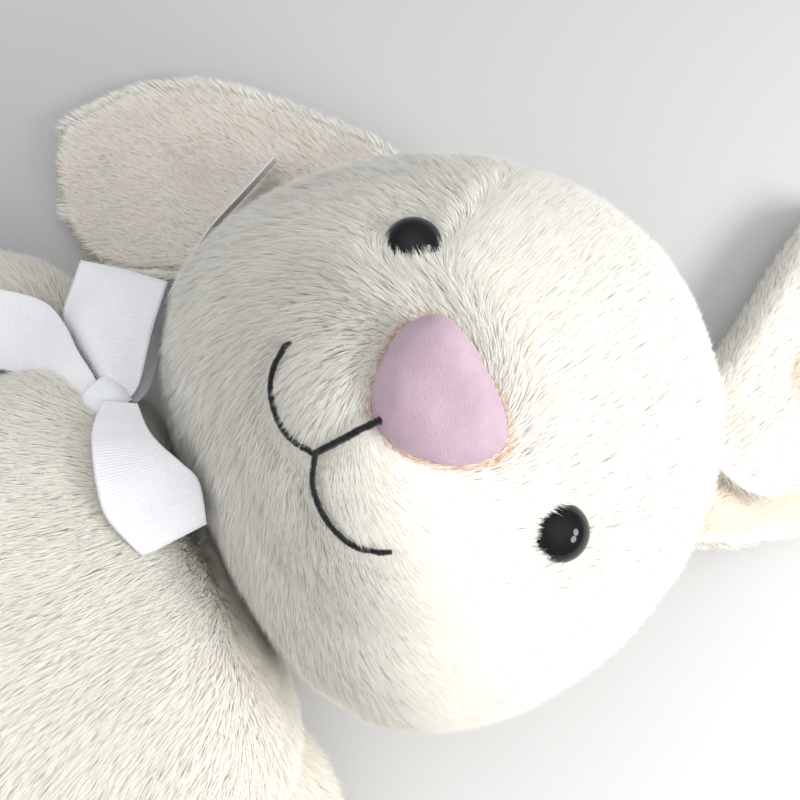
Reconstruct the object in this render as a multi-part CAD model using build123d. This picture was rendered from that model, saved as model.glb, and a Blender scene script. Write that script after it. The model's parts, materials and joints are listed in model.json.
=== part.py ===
from build123d import *
import os
from math import atan2, degrees

# A large stuffed bunny with a ribbon bow, lying on its back. Millimetres.
# +Z is up (and the way the face and belly look), +Y runs from the feet to the crown,
# +X is the bunny's own left. The origin is the middle of the flat patch of its back.

# Fabric
PLUSH = 8.0          # backing and standing pile of the fur fabric together
BACKING = 1.5        # backing alone, where the pile is pressed flat under an eye
GAP = 0.6            # clearance between pieces that move past each other

# Torso: a belly and a shoulder yoke, each an ellipsoid (half sizes x, y, z)
BELLY_SIZE = (150.0, 178.0, 92.0)
BELLY_Z = 84.0
YOKE_SIZE = (112.0, 70.0, 72.0)
YOKE_Y = 110.0
YOKE_Z = 80.0
TORSO_SEAM_Z = 82.0

# Head: two half ellipsoids that share their widest section, and a muzzle
HEAD_WIDEST_Y = 280.0
HEAD_Z = 105.0
HEAD_HALF_WIDTH = 136.0
HEAD_HALF_DEPTH = 105.0
CROWN_LENGTH = 155.0
CHIN_LENGTH = 97.0
MUZZLE_SIZE = (82.0, 60.0, 62.0)
MUZZLE_Y = HEAD_WIDEST_Y - 13.0
MUZZLE_Z = HEAD_Z + 60.0
FOREHEAD_SEAM_Y = HEAD_WIDEST_Y + 50.0

# Face
EYE_X = 68.0
EYE_Y = HEAD_WIDEST_Y + 34.0
EYE_RADIUS = 12.0
EYE_DOME = 9.0
EYE_RIM = 1.2
SHANK_RADIUS = 2.5
SHANK_LENGTH = 15.0
WASHER_RADIUS = 9.0
WASHER_THICKNESS = 1.5
WASHER_SEAT = -PLUSH - 1.0
NOSE_SIZE = (29.0, 22.0, 17.0)
NOSE_Y = HEAD_WIDEST_Y + 9.0
NOSE_Z = HEAD_Z + 113.0
NOSE_FABRIC = 1.2
MOUTH_TOP_Y = NOSE_Y - 21.0
MOUTH_JOIN_Y = HEAD_WIDEST_Y - 40.0
MOUTH_END = (44.0, HEAD_WIDEST_Y - 28.0)
MOUTH_LOW = (20.0, HEAD_WIDEST_Y - 46.0)
YARN = 2.2
YARN_HEIGHT = 1.0

# Ears: each outline runs round circles (x, y, radius) from its root to its tip
EAR_FABRIC = 8.0
EAR_LINING = 7.0
EAR_RIM = 9.0
RIGHT_EAR = ((-108, 362, 24), (-148, 314, 36), (-199, 248, 54), (-185, 224, 38), (-212, 208, 33))
LEFT_EAR = ((104, 394, 22), (84, 448, 44), (38, 522, 53), (8, 571, 40))
EAR_CURL_RADIUS = 17.0
EAR_CURL_REACH = 0.7     # half length of the curl, as a share of the run between the widest circles

# Arms and legs: a ball at the body, tapering to a larger ball at the far end
SHOULDER = (162.0, 128.0, 48.5)
ARM_ROOT = 48.0
ARM_END = 47.0
ARM_LENGTH = 165.0
LEFT_ARM_ANGLE = -20.0
RIGHT_ARM_ANGLE = -135.0
HIP = (85.0, -202.0, 54.5)
LEG_ROOT = 48.0
LEG_END = 54.0
LEG_LENGTH = 205.0
LEG_SPLAY = 9.0
FOOT_SIZE = (46.0, 56.0, 76.0)
FOOT_RISE = 22.0
SOLE_START = 20.0
SOLE_THICKNESS = 7.0

# Pom-pom tail
POMPOM_RADIUS = 34.0
POMPOM_CENTRE = (0.0, -196.0, 42.0)

# Ribbon bow
RIBBON = 38.0
RIBBON_THICKNESS = 1.0
BAND_Y = (156.0, 170.0)
KNOT = (-72.0, 162.0, 132.0)
KNOT_SIZE = (13.0, 15.0, 12.0)
RIGHT_LOOP = (76.0, 24.0)            # length and height of the flattened loop
RIGHT_LOOP_OFFSET = (-6.0, 3.0, 4.0)   # its folded end, from the knot
RIGHT_LOOP_HEADING = 154.0
RIGHT_LOOP_PITCH = -8.0
LEFT_LOOP = (70.0, 26.0)
LEFT_LOOP_OFFSET = (6.0, -5.0, 23.0)
LEFT_LOOP_HEADING = 1.0
LEFT_LOOP_PITCH = -4.0
LONG_TAIL = 90.0                     # the length that lies beyond the shoulder
LONG_TAIL_START = (-156.0, 114.0, 101.5)
LONG_TAIL_HEADING = 208.0
SHORT_TAIL_START = (-126.0, 216.0, 48.0)
SHORT_TAIL_END = (-180.0, 288.0, 37.0)

BIG = 900.0


def ellipsoid(size, centre):
    """A closed ellipsoid with half sizes along x, y and z."""
    return Pos(*centre) * scale(Sphere(1), by=size)


def slab(low=None, high=None, axis="z"):
    """A large box between two values on one axis."""
    low = -BIG if low is None else low
    high = BIG if high is None else high
    sizes = {"x": (high - low, 2 * BIG, 2 * BIG), "y": (2 * BIG, high - low, 2 * BIG)}
    size = sizes.get(axis, (2 * BIG, 2 * BIG, high - low))
    middle = (low + high) / 2
    place = {"x": (middle, 0, 0), "y": (0, middle, 0)}.get(axis, (0, 0, middle))
    return Pos(*place) * Box(*size)


def grown(size, by):
    return tuple(s + by for s in size)


def torso_form(by=0.0):
    """The torso's outer form, grown by a distance and cut flat where it lies."""
    belly = ellipsoid(grown(BELLY_SIZE, by), (0, 0, BELLY_Z))
    yoke = ellipsoid(grown(YOKE_SIZE, by), (0, YOKE_Y, YOKE_Z))
    floor = 0.0 if by >= 0 else -by
    return (belly + yoke) & slab(low=floor)


def head_form(by=0.0):
    """The head's outer form: chin half, crown half and muzzle."""
    width = HEAD_HALF_WIDTH + by
    depth = HEAD_HALF_DEPTH + by
    centre = (0, HEAD_WIDEST_Y, HEAD_Z)
    chin = ellipsoid((width, CHIN_LENGTH + by, depth), centre) & slab(high=HEAD_WIDEST_Y, axis="y")
    crown = ellipsoid((width, CROWN_LENGTH + by, depth), centre) & slab(low=HEAD_WIDEST_Y, axis="y")
    muzzle = ellipsoid(grown(MUZZLE_SIZE, by), (0, MUZZLE_Y, MUZZLE_Z))
    return chin + crown + muzzle


def make_torso():
    outer = torso_form()
    inner = torso_form(-PLUSH)
    cover = outer - inner
    return {
        "torso_front_panel": cover & slab(low=TORSO_SEAM_Z),
        "torso_back_panel": cover & slab(high=TORSO_SEAM_Z),
        "torso_stuffing": inner,
    }


def make_pompom():
    """A pom-pom tail sewn to the seat."""
    body = torso_form()
    ball = Pos(*POMPOM_CENTRE) * Sphere(POMPOM_RADIUS)
    core = Pos(*POMPOM_CENTRE) * Sphere(POMPOM_RADIUS - PLUSH)
    return {"pompom_cover": ball - core - body, "pompom_stuffing": core - body}


def eye_place(side):
    """A frame on the head's surface at one eye, with its z axis along the surface's normal."""
    x = side * EYE_X
    y = EYE_Y - HEAD_WIDEST_Y
    rise = (1 - (x / HEAD_HALF_WIDTH) ** 2 - (y / CROWN_LENGTH) ** 2) ** 0.5
    z = HEAD_HALF_DEPTH * rise
    normal = (x / HEAD_HALF_WIDTH ** 2, y / CROWN_LENGTH ** 2, z / HEAD_HALF_DEPTH ** 2)
    return Plane(origin=(x, EYE_Y, HEAD_Z + z), z_dir=normal)


def make_eye(side):
    """A domed safety eye with its shank, and the washer behind the fabric."""
    seat = BACKING - PLUSH
    ball = (EYE_RADIUS ** 2 + EYE_DOME ** 2) / (2 * EYE_DOME)
    dome = Pos(0, 0, seat + EYE_RIM + EYE_DOME - ball) * Sphere(ball)
    dome = dome & (Pos(0, 0, seat + EYE_RIM + EYE_DOME / 2) * Cylinder(EYE_RADIUS, EYE_DOME))
    rim = Pos(0, 0, seat + EYE_RIM / 2) * Cylinder(EYE_RADIUS, EYE_RIM)
    shank = Pos(0, 0, seat - SHANK_LENGTH / 2) * Cylinder(SHANK_RADIUS, SHANK_LENGTH)
    ring = Cylinder(WASHER_RADIUS, WASHER_THICKNESS) - Cylinder(SHANK_RADIUS, WASHER_THICKNESS)
    washer = Pos(0, 0, WASHER_SEAT - WASHER_THICKNESS / 2) * ring
    place = eye_place(side).location
    return place * (dome + rim + shank), place * washer


def eye_recess(side):
    """The room that an eye with its shank takes out of the head, and its washer's room."""
    top = PLUSH
    bottom = BACKING - PLUSH
    pit = Pos(0, 0, (top + bottom) / 2) * Cylinder(EYE_RADIUS, top - bottom)
    shank = Pos(0, 0, bottom - SHANK_LENGTH / 2) * Cylinder(SHANK_RADIUS, SHANK_LENGTH)
    depth = bottom - WASHER_SEAT + WASHER_THICKNESS
    washer = Pos(0, 0, bottom - depth / 2) * Cylinder(WASHER_RADIUS, depth)
    return eye_place(side).location * (pit + shank), eye_place(side).location * washer


def make_nose():
    centre = (0, NOSE_Y, NOSE_Z)
    outer = ellipsoid(NOSE_SIZE, centre)
    inner = ellipsoid(grown(NOSE_SIZE, -NOSE_FABRIC), centre)
    return {"nose_cover": outer - inner, "nose_stuffing": inner}, outer


def make_mouth():
    """The embroidered mouth, lying on the muzzle: a centre line and two arcs."""
    skin = head_form(YARN_HEIGHT) - head_form()
    lines = {"mouth_centre_stitch": Line((0, MOUTH_TOP_Y), (0, MOUTH_JOIN_Y + YARN / 2))}
    for name, side in (("mouth_right_stitch", -1), ("mouth_left_stitch", 1)):
        start = (side * YARN / 2, MOUTH_JOIN_Y)
        low = (side * MOUTH_LOW[0], MOUTH_LOW[1])
        end = (side * MOUTH_END[0], MOUTH_END[1])
        lines[name] = ThreePointArc(start, low, end)
    parts = {}
    for name, line in lines.items():
        strip = Pos(0, 0, HEAD_Z + HEAD_HALF_DEPTH / 2) * extrude(trace(line, YARN), BIG / 2)
        parts[name] = skin & strip
    return parts


def make_head():
    outer = head_form()
    inner = head_form(-PLUSH)
    nose_parts, nose = make_nose()
    cover = outer - inner - nose
    stuffing = inner - nose
    parts = dict(nose_parts)
    for name, side in (("right", -1), ("left", 1)):
        eye, washer = make_eye(side)
        parts[name + "_eye"] = eye
        parts[name + "_eye_washer"] = washer
        eye_room, washer_room = eye_recess(side)
        cover = cover - eye_room
        stuffing = stuffing - eye_room - washer_room
    front = cover & slab(low=HEAD_Z)
    parts["face_panel"] = front & slab(high=FOREHEAD_SEAM_Y, axis="y")
    parts["forehead_panel"] = front & slab(low=FOREHEAD_SEAM_Y, axis="y")
    parts["head_back_panel"] = cover & slab(high=HEAD_Z)
    parts["head_stuffing"] = stuffing
    parts.update(make_mouth())
    return parts


def spoon(circles, inset=0.0):
    """A flat outline that runs round a row of circles."""
    outline = Sketch()
    for first, second in zip(circles, circles[1:]):
        pair = Sketch() + [Pos(x, y) * Circle(r - inset) for x, y, r in (first, second)]
        outline += make_hull(pair.edges())
    return outline


def make_right_ear():
    """The right ear lies open on the table beside the cheek."""
    back = extrude(spoon(RIGHT_EAR), EAR_FABRIC)
    lining = Pos(0, 0, EAR_FABRIC) * extrude(spoon(RIGHT_EAR, EAR_RIM), EAR_LINING)
    return {"right_ear_back": back, "right_ear_lining": lining}


def make_left_ear():
    """The left ear lies past the crown, with the rim nearer the head curled up."""
    back = extrude(spoon(LEFT_EAR), EAR_FABRIC)
    (x1, y1, r1), (x2, y2, r2) = LEFT_EAR[1:3]
    run = ((x2 - x1) ** 2 + (y2 - y1) ** 2) ** 0.5
    across = (-(y2 - y1) / run, (x2 - x1) / run)
    reach = (r1 + r2) / 2 - EAR_CURL_RADIUS
    middle = ((x1 + x2) / 2 + across[0] * reach, (y1 + y2) / 2 + across[1] * reach)
    heading = degrees(atan2(y2 - y1, x2 - x1))
    curl = scale(Sphere(1), by=(run * EAR_CURL_REACH, EAR_CURL_RADIUS, EAR_CURL_RADIUS))
    curl = Pos(*middle, EAR_CURL_RADIUS) * Rot(0, 0, heading) * curl
    lining = Pos(0, 0, EAR_FABRIC) * extrude(spoon(LEFT_EAR, EAR_RIM), EAR_LINING)
    return {"left_ear_back": back + curl, "left_ear_lining": lining - curl}


def limb(root, end, length, by=0.0):
    """A tapering limb along +x: a ball at its root and a ball at its far end."""
    circles = Sketch() + [Circle(root + by), Pos(length, 0) * Circle(end + by)]
    half = make_hull(circles.edges()) & (Pos(0, BIG / 2) * Rectangle(2 * BIG, BIG))
    return revolve(half, Axis.X)


def split_cover(name, outer, inner, place):
    """An upper and an under panel and the stuffing of one limb."""
    cover = outer - inner
    return {
        name + "_upper_panel": place * (cover & slab(low=0)),
        name + "_under_panel": place * (cover & slab(high=0)),
        name + "_stuffing": place * inner,
    }


def make_arm(name, side, angle):
    place = Pos(side * SHOULDER[0], SHOULDER[1], SHOULDER[2]) * Rot(0, 0, angle)
    outer = limb(ARM_ROOT, ARM_END, ARM_LENGTH)
    inner = limb(ARM_ROOT, ARM_END, ARM_LENGTH, -PLUSH)
    return split_cover(name, outer, inner, place)


def make_leg(name, side):
    """A leg with its toes up and a flat sole at the far end."""
    place = Pos(side * HIP[0], HIP[1], HIP[2]) * Rot(0, 0, -90 + side * LEG_SPLAY)
    foot_centre = (LEG_LENGTH, 0, FOOT_RISE)
    foot = ellipsoid(FOOT_SIZE, foot_centre)
    foot_inner = ellipsoid(grown(FOOT_SIZE, -PLUSH), foot_centre)
    sole_x = LEG_LENGTH + SOLE_START
    before = slab(high=sole_x, axis="x")
    outer = (limb(LEG_ROOT, LEG_END, LEG_LENGTH) + foot) & before
    inner = (limb(LEG_ROOT, LEG_END, LEG_LENGTH, -PLUSH) + foot_inner) & before
    parts = split_cover(name, outer, inner, place)
    sole = foot & slab(sole_x, sole_x + SOLE_THICKNESS, axis="x")
    parts[name + "_sole"] = place * sole
    return parts


def ribbon_loop(length, height):
    """A flattened loop of ribbon from the origin along +x, with its width along y."""
    outer = Ellipse(length / 2, height / 2)
    inner = Ellipse(length / 2 - RIBBON_THICKNESS, height / 2 - RIBBON_THICKNESS)
    ring = extrude(Plane.XZ * (outer - inner), RIBBON / 2, both=True)
    return Pos(length / 2, 0, 0) * ring


def place_loop(loop, offset, heading, pitch):
    """A ribbon loop set by the knot, turned to its heading and tipped by its pitch."""
    x, y, z = (k + o for k, o in zip(KNOT, offset))
    return Pos(x, y, z) * Rot(0, 0, heading) * Rot(0, pitch, 0) * ribbon_loop(*loop)


def make_bow():
    """The neck band, the knot and two loops."""
    low, high = BAND_Y
    band = (torso_form(GAP + RIBBON_THICKNESS) - torso_form(GAP)) & slab(low, high, axis="y")
    knot = ellipsoid(KNOT_SIZE, KNOT)
    clear = ellipsoid(grown(KNOT_SIZE, GAP), KNOT)
    right = place_loop(RIGHT_LOOP, RIGHT_LOOP_OFFSET, RIGHT_LOOP_HEADING, RIGHT_LOOP_PITCH)
    left = place_loop(LEFT_LOOP, LEFT_LOOP_OFFSET, LEFT_LOOP_HEADING, LEFT_LOOP_PITCH)
    return {
        "ribbon_band": band - clear,
        "bow_knot": knot,
        "bow_right_loop": right - clear,
        "bow_left_loop": left - clear,
    }


def make_tails():
    """The long tail lies along the right arm, and the short one stands on edge by the cheek."""
    strip = Pos(LONG_TAIL / 2, 0, 0) * Box(LONG_TAIL, RIBBON, RIBBON_THICKNESS)
    long_tail = Pos(*LONG_TAIL_START) * Rot(0, 0, LONG_TAIL_HEADING) * strip
    x, y, z = (end - start for start, end in zip(SHORT_TAIL_START, SHORT_TAIL_END))
    run = (x ** 2 + y ** 2) ** 0.5
    edge = Pos(run / 2, 0, 0) * Box(run, RIBBON_THICKNESS, RIBBON)
    turned = Rot(0, 0, degrees(atan2(y, x))) * Rot(0, degrees(atan2(-z, run)), 0)
    short_tail = Pos(*SHORT_TAIL_START) * turned * edge
    return {"ribbon_long_tail": long_tail, "ribbon_short_tail": short_tail}


def make_all():
    parts = {}
    parts.update(make_torso())
    parts.update(make_pompom())
    parts.update(make_bow())
    parts.update(make_tails())
    parts.update(make_head())
    parts.update(make_right_ear())
    parts.update(make_left_ear())
    parts.update(make_arm("right_arm", -1, RIGHT_ARM_ANGLE))
    parts.update(make_arm("left_arm", 1, LEFT_ARM_ANGLE))
    parts.update(make_leg("right_leg", -1))
    parts.update(make_leg("left_leg", 1))
    return parts


os.makedirs("parts", exist_ok=True)
for node, shape in make_all().items():
    export_step(shape, f"parts/{node}.step")
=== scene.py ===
import json
from math import cos, pi, radians, sin

import bmesh
import bpy
import numpy as np
from mathutils import Matrix, Vector
from mathutils.bvhtree import BVHTree


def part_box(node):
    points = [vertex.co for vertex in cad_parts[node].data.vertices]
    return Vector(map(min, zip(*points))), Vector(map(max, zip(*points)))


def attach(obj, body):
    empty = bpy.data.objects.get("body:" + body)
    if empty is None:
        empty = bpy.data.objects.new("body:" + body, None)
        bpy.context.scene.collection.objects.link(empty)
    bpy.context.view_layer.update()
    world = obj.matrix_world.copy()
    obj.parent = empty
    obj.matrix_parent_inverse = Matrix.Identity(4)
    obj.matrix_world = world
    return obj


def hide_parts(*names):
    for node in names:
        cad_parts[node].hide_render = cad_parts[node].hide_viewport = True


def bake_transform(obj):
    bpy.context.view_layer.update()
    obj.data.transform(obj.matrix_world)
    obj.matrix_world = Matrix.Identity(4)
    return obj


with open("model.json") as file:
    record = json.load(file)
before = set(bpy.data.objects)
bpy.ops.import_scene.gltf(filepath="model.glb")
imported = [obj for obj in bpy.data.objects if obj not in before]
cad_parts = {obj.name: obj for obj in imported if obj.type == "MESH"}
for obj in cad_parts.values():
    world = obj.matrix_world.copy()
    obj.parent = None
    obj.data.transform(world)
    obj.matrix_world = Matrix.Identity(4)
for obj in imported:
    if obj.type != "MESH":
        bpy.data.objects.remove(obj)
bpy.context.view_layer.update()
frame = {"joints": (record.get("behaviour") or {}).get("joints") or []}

# --- Sizes, in metres, and places, from the frame ---
PILE = 0.007                 # how far the fur stands above the backing
RIB_PITCH = 0.0012           # grosgrain ribs
HEAD_LOW, HEAD_HIGH = (np.array(corner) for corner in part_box("head_back_panel"))
CROWN = 0.155                # widest section to crown
HEAD = np.array([0.0, HEAD_HIGH[1] - CROWN, HEAD_HIGH[2]])
CHIN = HEAD[1] - HEAD_LOW[1]
HEAD_WIDTH = HEAD_HIGH[0]
HEAD_DEPTH = HEAD[2]
MUZZLE = HEAD + (0.0, -0.013, 0.060)
MUZZLE_SIZE = np.array([0.082, 0.060, 0.062])
NOSE_LOW, NOSE_HIGH = (np.array(corner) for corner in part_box("nose_cover"))
NOSE = (NOSE_LOW + NOSE_HIGH) / 2
EYES = {side: sum(np.array(c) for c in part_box(side + "_eye_washer")) / 2 for side in ("right", "left")}


# --- Arrays, noise and meshes ---
def unit(v):
    return v / np.maximum(np.linalg.norm(v, axis=-1, keepdims=True), 1e-12)


def smoothstep(low, high, x):
    t = np.clip((x - low) / (high - low), 0, 1)
    return t * t * (3 - 2 * t)


def noise(points, size, seed):
    """Smooth value noise from -1 to 1, for points in metres, with features of one size."""
    table = np.random.default_rng(seed).uniform(-1, 1, (32, 32, 32))
    p = points / size
    base = np.floor(p).astype(int)
    f = p - base
    f = f * f * (3 - 2 * f)
    total = 0
    for corner in range(8):
        bits = np.array([corner & 1, corner >> 1 & 1, corner >> 2 & 1])
        weight = np.prod(np.where(bits, f, 1 - f), axis=1)
        i, j, k = ((base + bits) % 32).T
        total = total + weight * table[i, j, k]
    return total


def vector_noise(points, size, seed):
    return np.stack([noise(points, size, seed + i) for i in range(3)], axis=1)


def new_object(name, mesh):
    obj = bpy.data.objects.new(name, mesh)
    bpy.context.scene.collection.objects.link(obj)
    return obj


def shade_smooth(mesh):
    mesh.polygons.foreach_set("use_smooth", [True] * len(mesh.polygons))


def mesh_object(name, verts, faces):
    mesh = bpy.data.meshes.new(name)
    mesh.from_pydata([tuple(v) for v in verts], [], [tuple(f) for f in faces])
    mesh.validate()
    shade_smooth(mesh)
    mesh.update()
    return new_object(name, mesh)


def coords(mesh):
    flat = np.empty(len(mesh.vertices) * 3, np.float32)
    mesh.vertices.foreach_get("co", flat)
    return flat.reshape(-1, 3).astype(float)


def set_coords(mesh, points):
    mesh.vertices.foreach_set("co", np.asarray(points, np.float32).ravel())
    mesh.update()


def vertex_normals(mesh):
    flat = np.empty(len(mesh.vertices) * 3, np.float32)
    mesh.vertex_normals.foreach_get("vector", flat)
    return flat.reshape(-1, 3).astype(float)


def apply_modifiers(obj):
    """Bakes an object's modifiers into its mesh."""
    depsgraph = bpy.context.evaluated_depsgraph_get()
    mesh = bpy.data.meshes.new_from_object(obj.evaluated_get(depsgraph))
    obj.modifiers.clear()
    old = obj.data
    obj.data = mesh
    bpy.data.meshes.remove(old)
    mesh.name = obj.name
    shade_smooth(mesh)
    return obj


def close_mesh(obj, merge=0.0):
    """Joins vertices closer than merge, and turns every face outwards."""
    bm = bmesh.new()
    bm.from_mesh(obj.data)
    if merge:
        bmesh.ops.remove_doubles(bm, verts=bm.verts, dist=merge)
    bmesh.ops.recalc_face_normals(bm, faces=bm.faces)
    bm.to_mesh(obj.data)
    bm.free()
    return obj


def dress(obj, material, body, nodes):
    """A piece's material, its body and the CAD nodes it stands for."""
    obj.data.materials.append(material)
    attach(obj, body)
    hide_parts(*nodes)


def grid_faces(rows, columns, wrap=False):
    faces = []
    last = columns if wrap else columns - 1
    for i in range(rows - 1):
        for j in range(last):
            k = (j + 1) % columns
            faces.append((i * columns + j, i * columns + k, (i + 1) * columns + k, (i + 1) * columns + j))
    return faces


def ball(name, subdivisions):
    """A unit sphere of even triangles."""
    mesh = bpy.data.meshes.new(name)
    bm = bmesh.new()
    bmesh.ops.create_icosphere(bm, subdivisions=subdivisions, radius=1)
    bm.to_mesh(mesh)
    bm.free()
    shade_smooth(mesh)
    return new_object(name, mesh)


def curve_points(controls, count):
    """Points along a smooth curve through controls (any number of columns)."""
    c = np.array(controls, float)
    c = np.vstack([2 * c[0] - c[1], c, 2 * c[-1] - c[-2]])
    t = np.linspace(0, len(c) - 3 - 1e-9, count)
    i = np.floor(t).astype(int)
    f = (t - i)[:, None]
    a, b, d, e = c[i], c[i + 1], c[i + 2], c[i + 3]
    return 0.5 * (2 * b + (d - a) * f + (2 * a - 5 * b + 4 * d - e) * f ** 2
                  + (3 * b - a - 3 * d + e) * f ** 3)


# --- Materials ---
def plain_material(name, color):
    """A plain shader for strands, which are too fine to hold a pattern of their own."""
    material = bpy.data.materials.new(name)
    material.use_nodes = True
    shader = material.node_tree.nodes["Principled BSDF"]
    shader.inputs["Base Color"].default_value = (*color, 1)
    shader.inputs["Roughness"].default_value = 0.8
    shader.inputs["Specular IOR Level"].default_value = 0.15
    shader.inputs["Sheen Weight"].default_value = 0.3
    shader.inputs["Sheen Roughness"].default_value = 0.6
    material.diffuse_color = (*color, 1)
    return material


def shades(name, color, spread):
    """Several strand materials a little lighter and darker than one colour."""
    made = []
    for i, step in enumerate(np.linspace(-1, 1, SHADES)):
        tone = np.array(color) * (1 + spread * step * np.array([0.75, 1.0, 1.45]))
        made.append(plain_material(f"{name}_{i}", np.clip(tone, 0, 0.98)))
    return made


def node_material(name, rough, specular, sheen=0.0):
    material = bpy.data.materials.new(name)
    material.use_nodes = True
    tree = material.node_tree
    shader = tree.nodes["Principled BSDF"]
    shader.inputs["Roughness"].default_value = rough
    shader.inputs["Specular IOR Level"].default_value = specular
    shader.inputs["Sheen Weight"].default_value = sheen
    return material, tree, shader


def noise_node(tree, scale, detail=3.0, rough=0.5, vector=None):
    node = tree.nodes.new("ShaderNodeTexNoise")
    node.inputs["Scale"].default_value = scale
    node.inputs["Detail"].default_value = detail
    node.inputs["Roughness"].default_value = rough
    tree.links.new(vector or object_coords(tree), node.inputs["Vector"])
    return node.outputs["Fac"]


def object_coords(tree):
    for node in tree.nodes:
        if node.type == "TEX_COORD":
            return node.outputs["Object"]
    return tree.nodes.new("ShaderNodeTexCoord").outputs["Object"]


def stretched(tree, scale, shift=(0, 0, 0)):
    """Object coordinates scaled unevenly and shifted."""
    node = tree.nodes.new("ShaderNodeMapping")
    node.inputs["Location"].default_value = shift
    node.inputs["Scale"].default_value = scale
    tree.links.new(object_coords(tree), node.inputs["Vector"])
    return node.outputs["Vector"]


def ramp(tree, factor, stops):
    node = tree.nodes.new("ShaderNodeValToRGB")
    elements = node.color_ramp.elements
    while len(elements) < len(stops):
        elements.new(0.5)
    for element, (place, color) in zip(elements, stops):
        element.position = place
        element.color = (*color, 1)
    tree.links.new(factor, node.inputs["Fac"])
    return node.outputs["Color"]


def bump(tree, shader, height, strength, distance):
    node = tree.nodes.new("ShaderNodeBump")
    node.inputs["Strength"].default_value = strength
    node.inputs["Distance"].default_value = distance
    tree.links.new(height, node.inputs["Height"])
    tree.links.new(node.outputs["Normal"], shader.inputs["Normal"])


def mottled_material(name, tones, fine, rough=0.9, specular=0.05, sheen=0.0):
    """A shader with mottled tones = (scale, detail, stops) and a fine bump = (scale, detail, strength,
    distance)."""
    material, tree, shader = node_material(name, rough, specular, sheen)
    scale, detail, stops = tones
    tree.links.new(ramp(tree, noise_node(tree, scale, detail), stops), shader.inputs["Base Color"])
    scale, detail, strength, distance = fine
    bump(tree, shader, noise_node(tree, scale, detail), strength, distance)
    return material


def velour_material():
    """Pink brushed velour: a soft nap with fine ribs that run towards the mouth."""
    material, tree, shader = node_material("nose_velour", rough=0.75, specular=0.12, sheen=0.40)
    shader.inputs["Sheen Roughness"].default_value = 0.45
    shader.inputs["Sheen Tint"].default_value = (1.0, 0.88, 0.95, 1)
    blotch = noise_node(tree, 55.0, 5.0, 0.6)
    color = ramp(tree, blotch, [(0.28, (0.54, 0.39, 0.475)), (0.5, (0.61, 0.45, 0.54)),
                                (0.74, (0.67, 0.51, 0.60))])
    tree.links.new(color, shader.inputs["Base Color"])
    fine = noise_node(tree, 1.0, 3.0, 0.6, stretched(tree, (700.0, 2600.0, 900.0)))
    bump(tree, shader, fine, 0.8, 0.0008)
    return material


def eye_material():
    """Black moulded plastic with a hard clear gloss."""
    material, tree, shader = node_material("eye_gloss_black", rough=0.04, specular=0.28)
    color = ramp(tree, noise_node(tree, 300.0), [(0.3, (0.004, 0.004, 0.005)), (0.8, (0.008, 0.008, 0.010))])
    tree.links.new(color, shader.inputs["Base Color"])
    scuffs = ramp(tree, noise_node(tree, 700.0, 5.0), [(0.45, (0.03, 0.03, 0.03)), (0.8, (0.07, 0.07, 0.07))])
    tree.links.new(scuffs, shader.inputs["Roughness"])
    return material


# --- Fur ---
def surface_samples(obj, density, rng):
    """Points and normals spread over a mesh, density(points) to the square metre."""
    mesh = obj.data
    mesh.calc_loop_triangles()
    tri = np.empty(len(mesh.loop_triangles) * 3, np.int32)
    mesh.loop_triangles.foreach_get("vertices", tri)
    tri = tri.reshape(-1, 3)
    co, no = coords(mesh), vertex_normals(mesh)
    a, b, c = co[tri[:, 0]], co[tri[:, 1]], co[tri[:, 2]]
    area = np.linalg.norm(np.cross(b - a, c - a), axis=1) / 2
    total = np.cumsum(area * density((a + b + c) / 3))
    pick = np.searchsorted(total, rng.random(int(total[-1])) * total[-1])
    u, v = rng.random((2, len(pick)))
    over = u + v > 1
    u[over], v[over] = 1 - u[over], 1 - v[over]
    w = 1 - u - v
    mix = lambda array: (array[tri[pick, 0]] * w[:, None] + array[tri[pick, 1]] * u[:, None]
                         + array[tri[pick, 2]] * v[:, None])
    return mix(co), unit(mix(no))


def clump_centres(points, spacing):
    """For each point, the root of the lock of pile that it leans towards."""
    cell = np.floor(points / spacing + 0.35 * vector_noise(points, spacing * 3, 90)).astype(int)
    _, inverse = np.unique(cell, axis=0, return_inverse=True)
    inverse = inverse.ravel()
    count = np.bincount(inverse)
    centre = np.stack([np.bincount(inverse, points[:, i]) / count for i in range(3)], axis=1)
    return centre[inverse], inverse


LOCK_SIZE = 0.0032           # the locks that the pile gathers in
WAVE = 0.42                  # how far waves, locks and single strands turn from the combed direction
LOCK_STRAY = 0.11
STRAY = 0.15
SHADES = 5                   # strand materials in one colour of pile
FLOOR_GAP = 0.0002
STRANDS_IN_PIECE = 60000


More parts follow.
